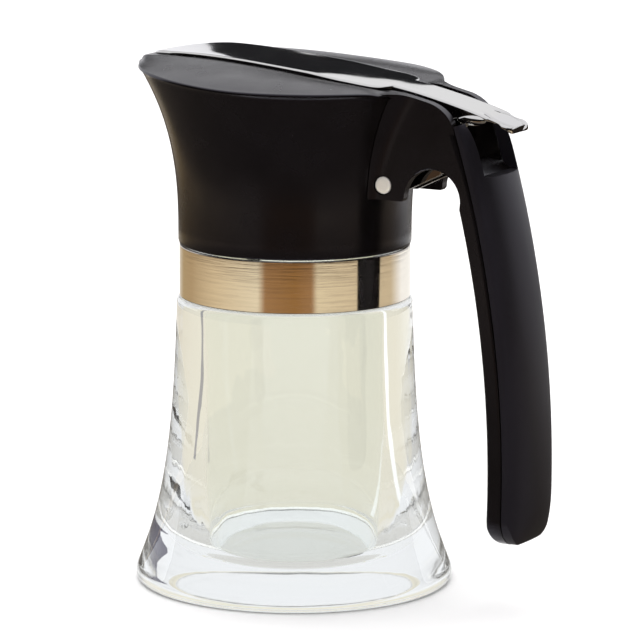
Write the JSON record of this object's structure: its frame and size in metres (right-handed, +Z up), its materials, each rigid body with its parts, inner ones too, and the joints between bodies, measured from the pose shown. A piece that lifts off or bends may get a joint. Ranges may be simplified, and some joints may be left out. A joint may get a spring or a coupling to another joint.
{
  "type": "lever-lid syrup dispenser jug",
  "caption": "Flared clear glass jug with a steel collar, a flared black plastic head with a pouring beak, an arched steel lid worked by a thumb lever, and an open side handle.",
  "frame": {"origin": "middle of the jar's flat underside, on the surface the jug stands on", "axes": "+Z up along the jar's axis, +X towards the handle, the pouring beak at -X, the XZ plane is the plane of symmetry"},
  "size_m": [0.122, 0.087, 0.1454],
  "materials": {
    "clear_glass": "clear, smooth",
    "collar_steel": "polished stainless steel",
    "head_plastic": "satin black",
    "handle_plastic": "satin black",
    "grip_plastic": "soft matt black",
    "pin_steel": "dull steel",
    "lid_steel": "polished stainless steel"
  },
  "bodies": {
    "jug": {"glass_jar": "clear_glass", "steel_collar": "collar_steel", "head": "head_plastic", "handle_frame": "handle_plastic", "handle_back": "grip_plastic", "hinge_pin": "pin_steel"},
    "lid": {"lid_lever": "lid_steel"}
  },
  "joints": [
    {"name": "lid_hinge", "type": "hinge", "parent": "jug", "child": "lid", "pos_m": [0.0336, 0, 0.1135], "axis": [0, 1, 0], "range_deg": [0, 12], "stiffness_Nm_per_rad": 0.05, "springref_deg": -17.19}
  ]
}
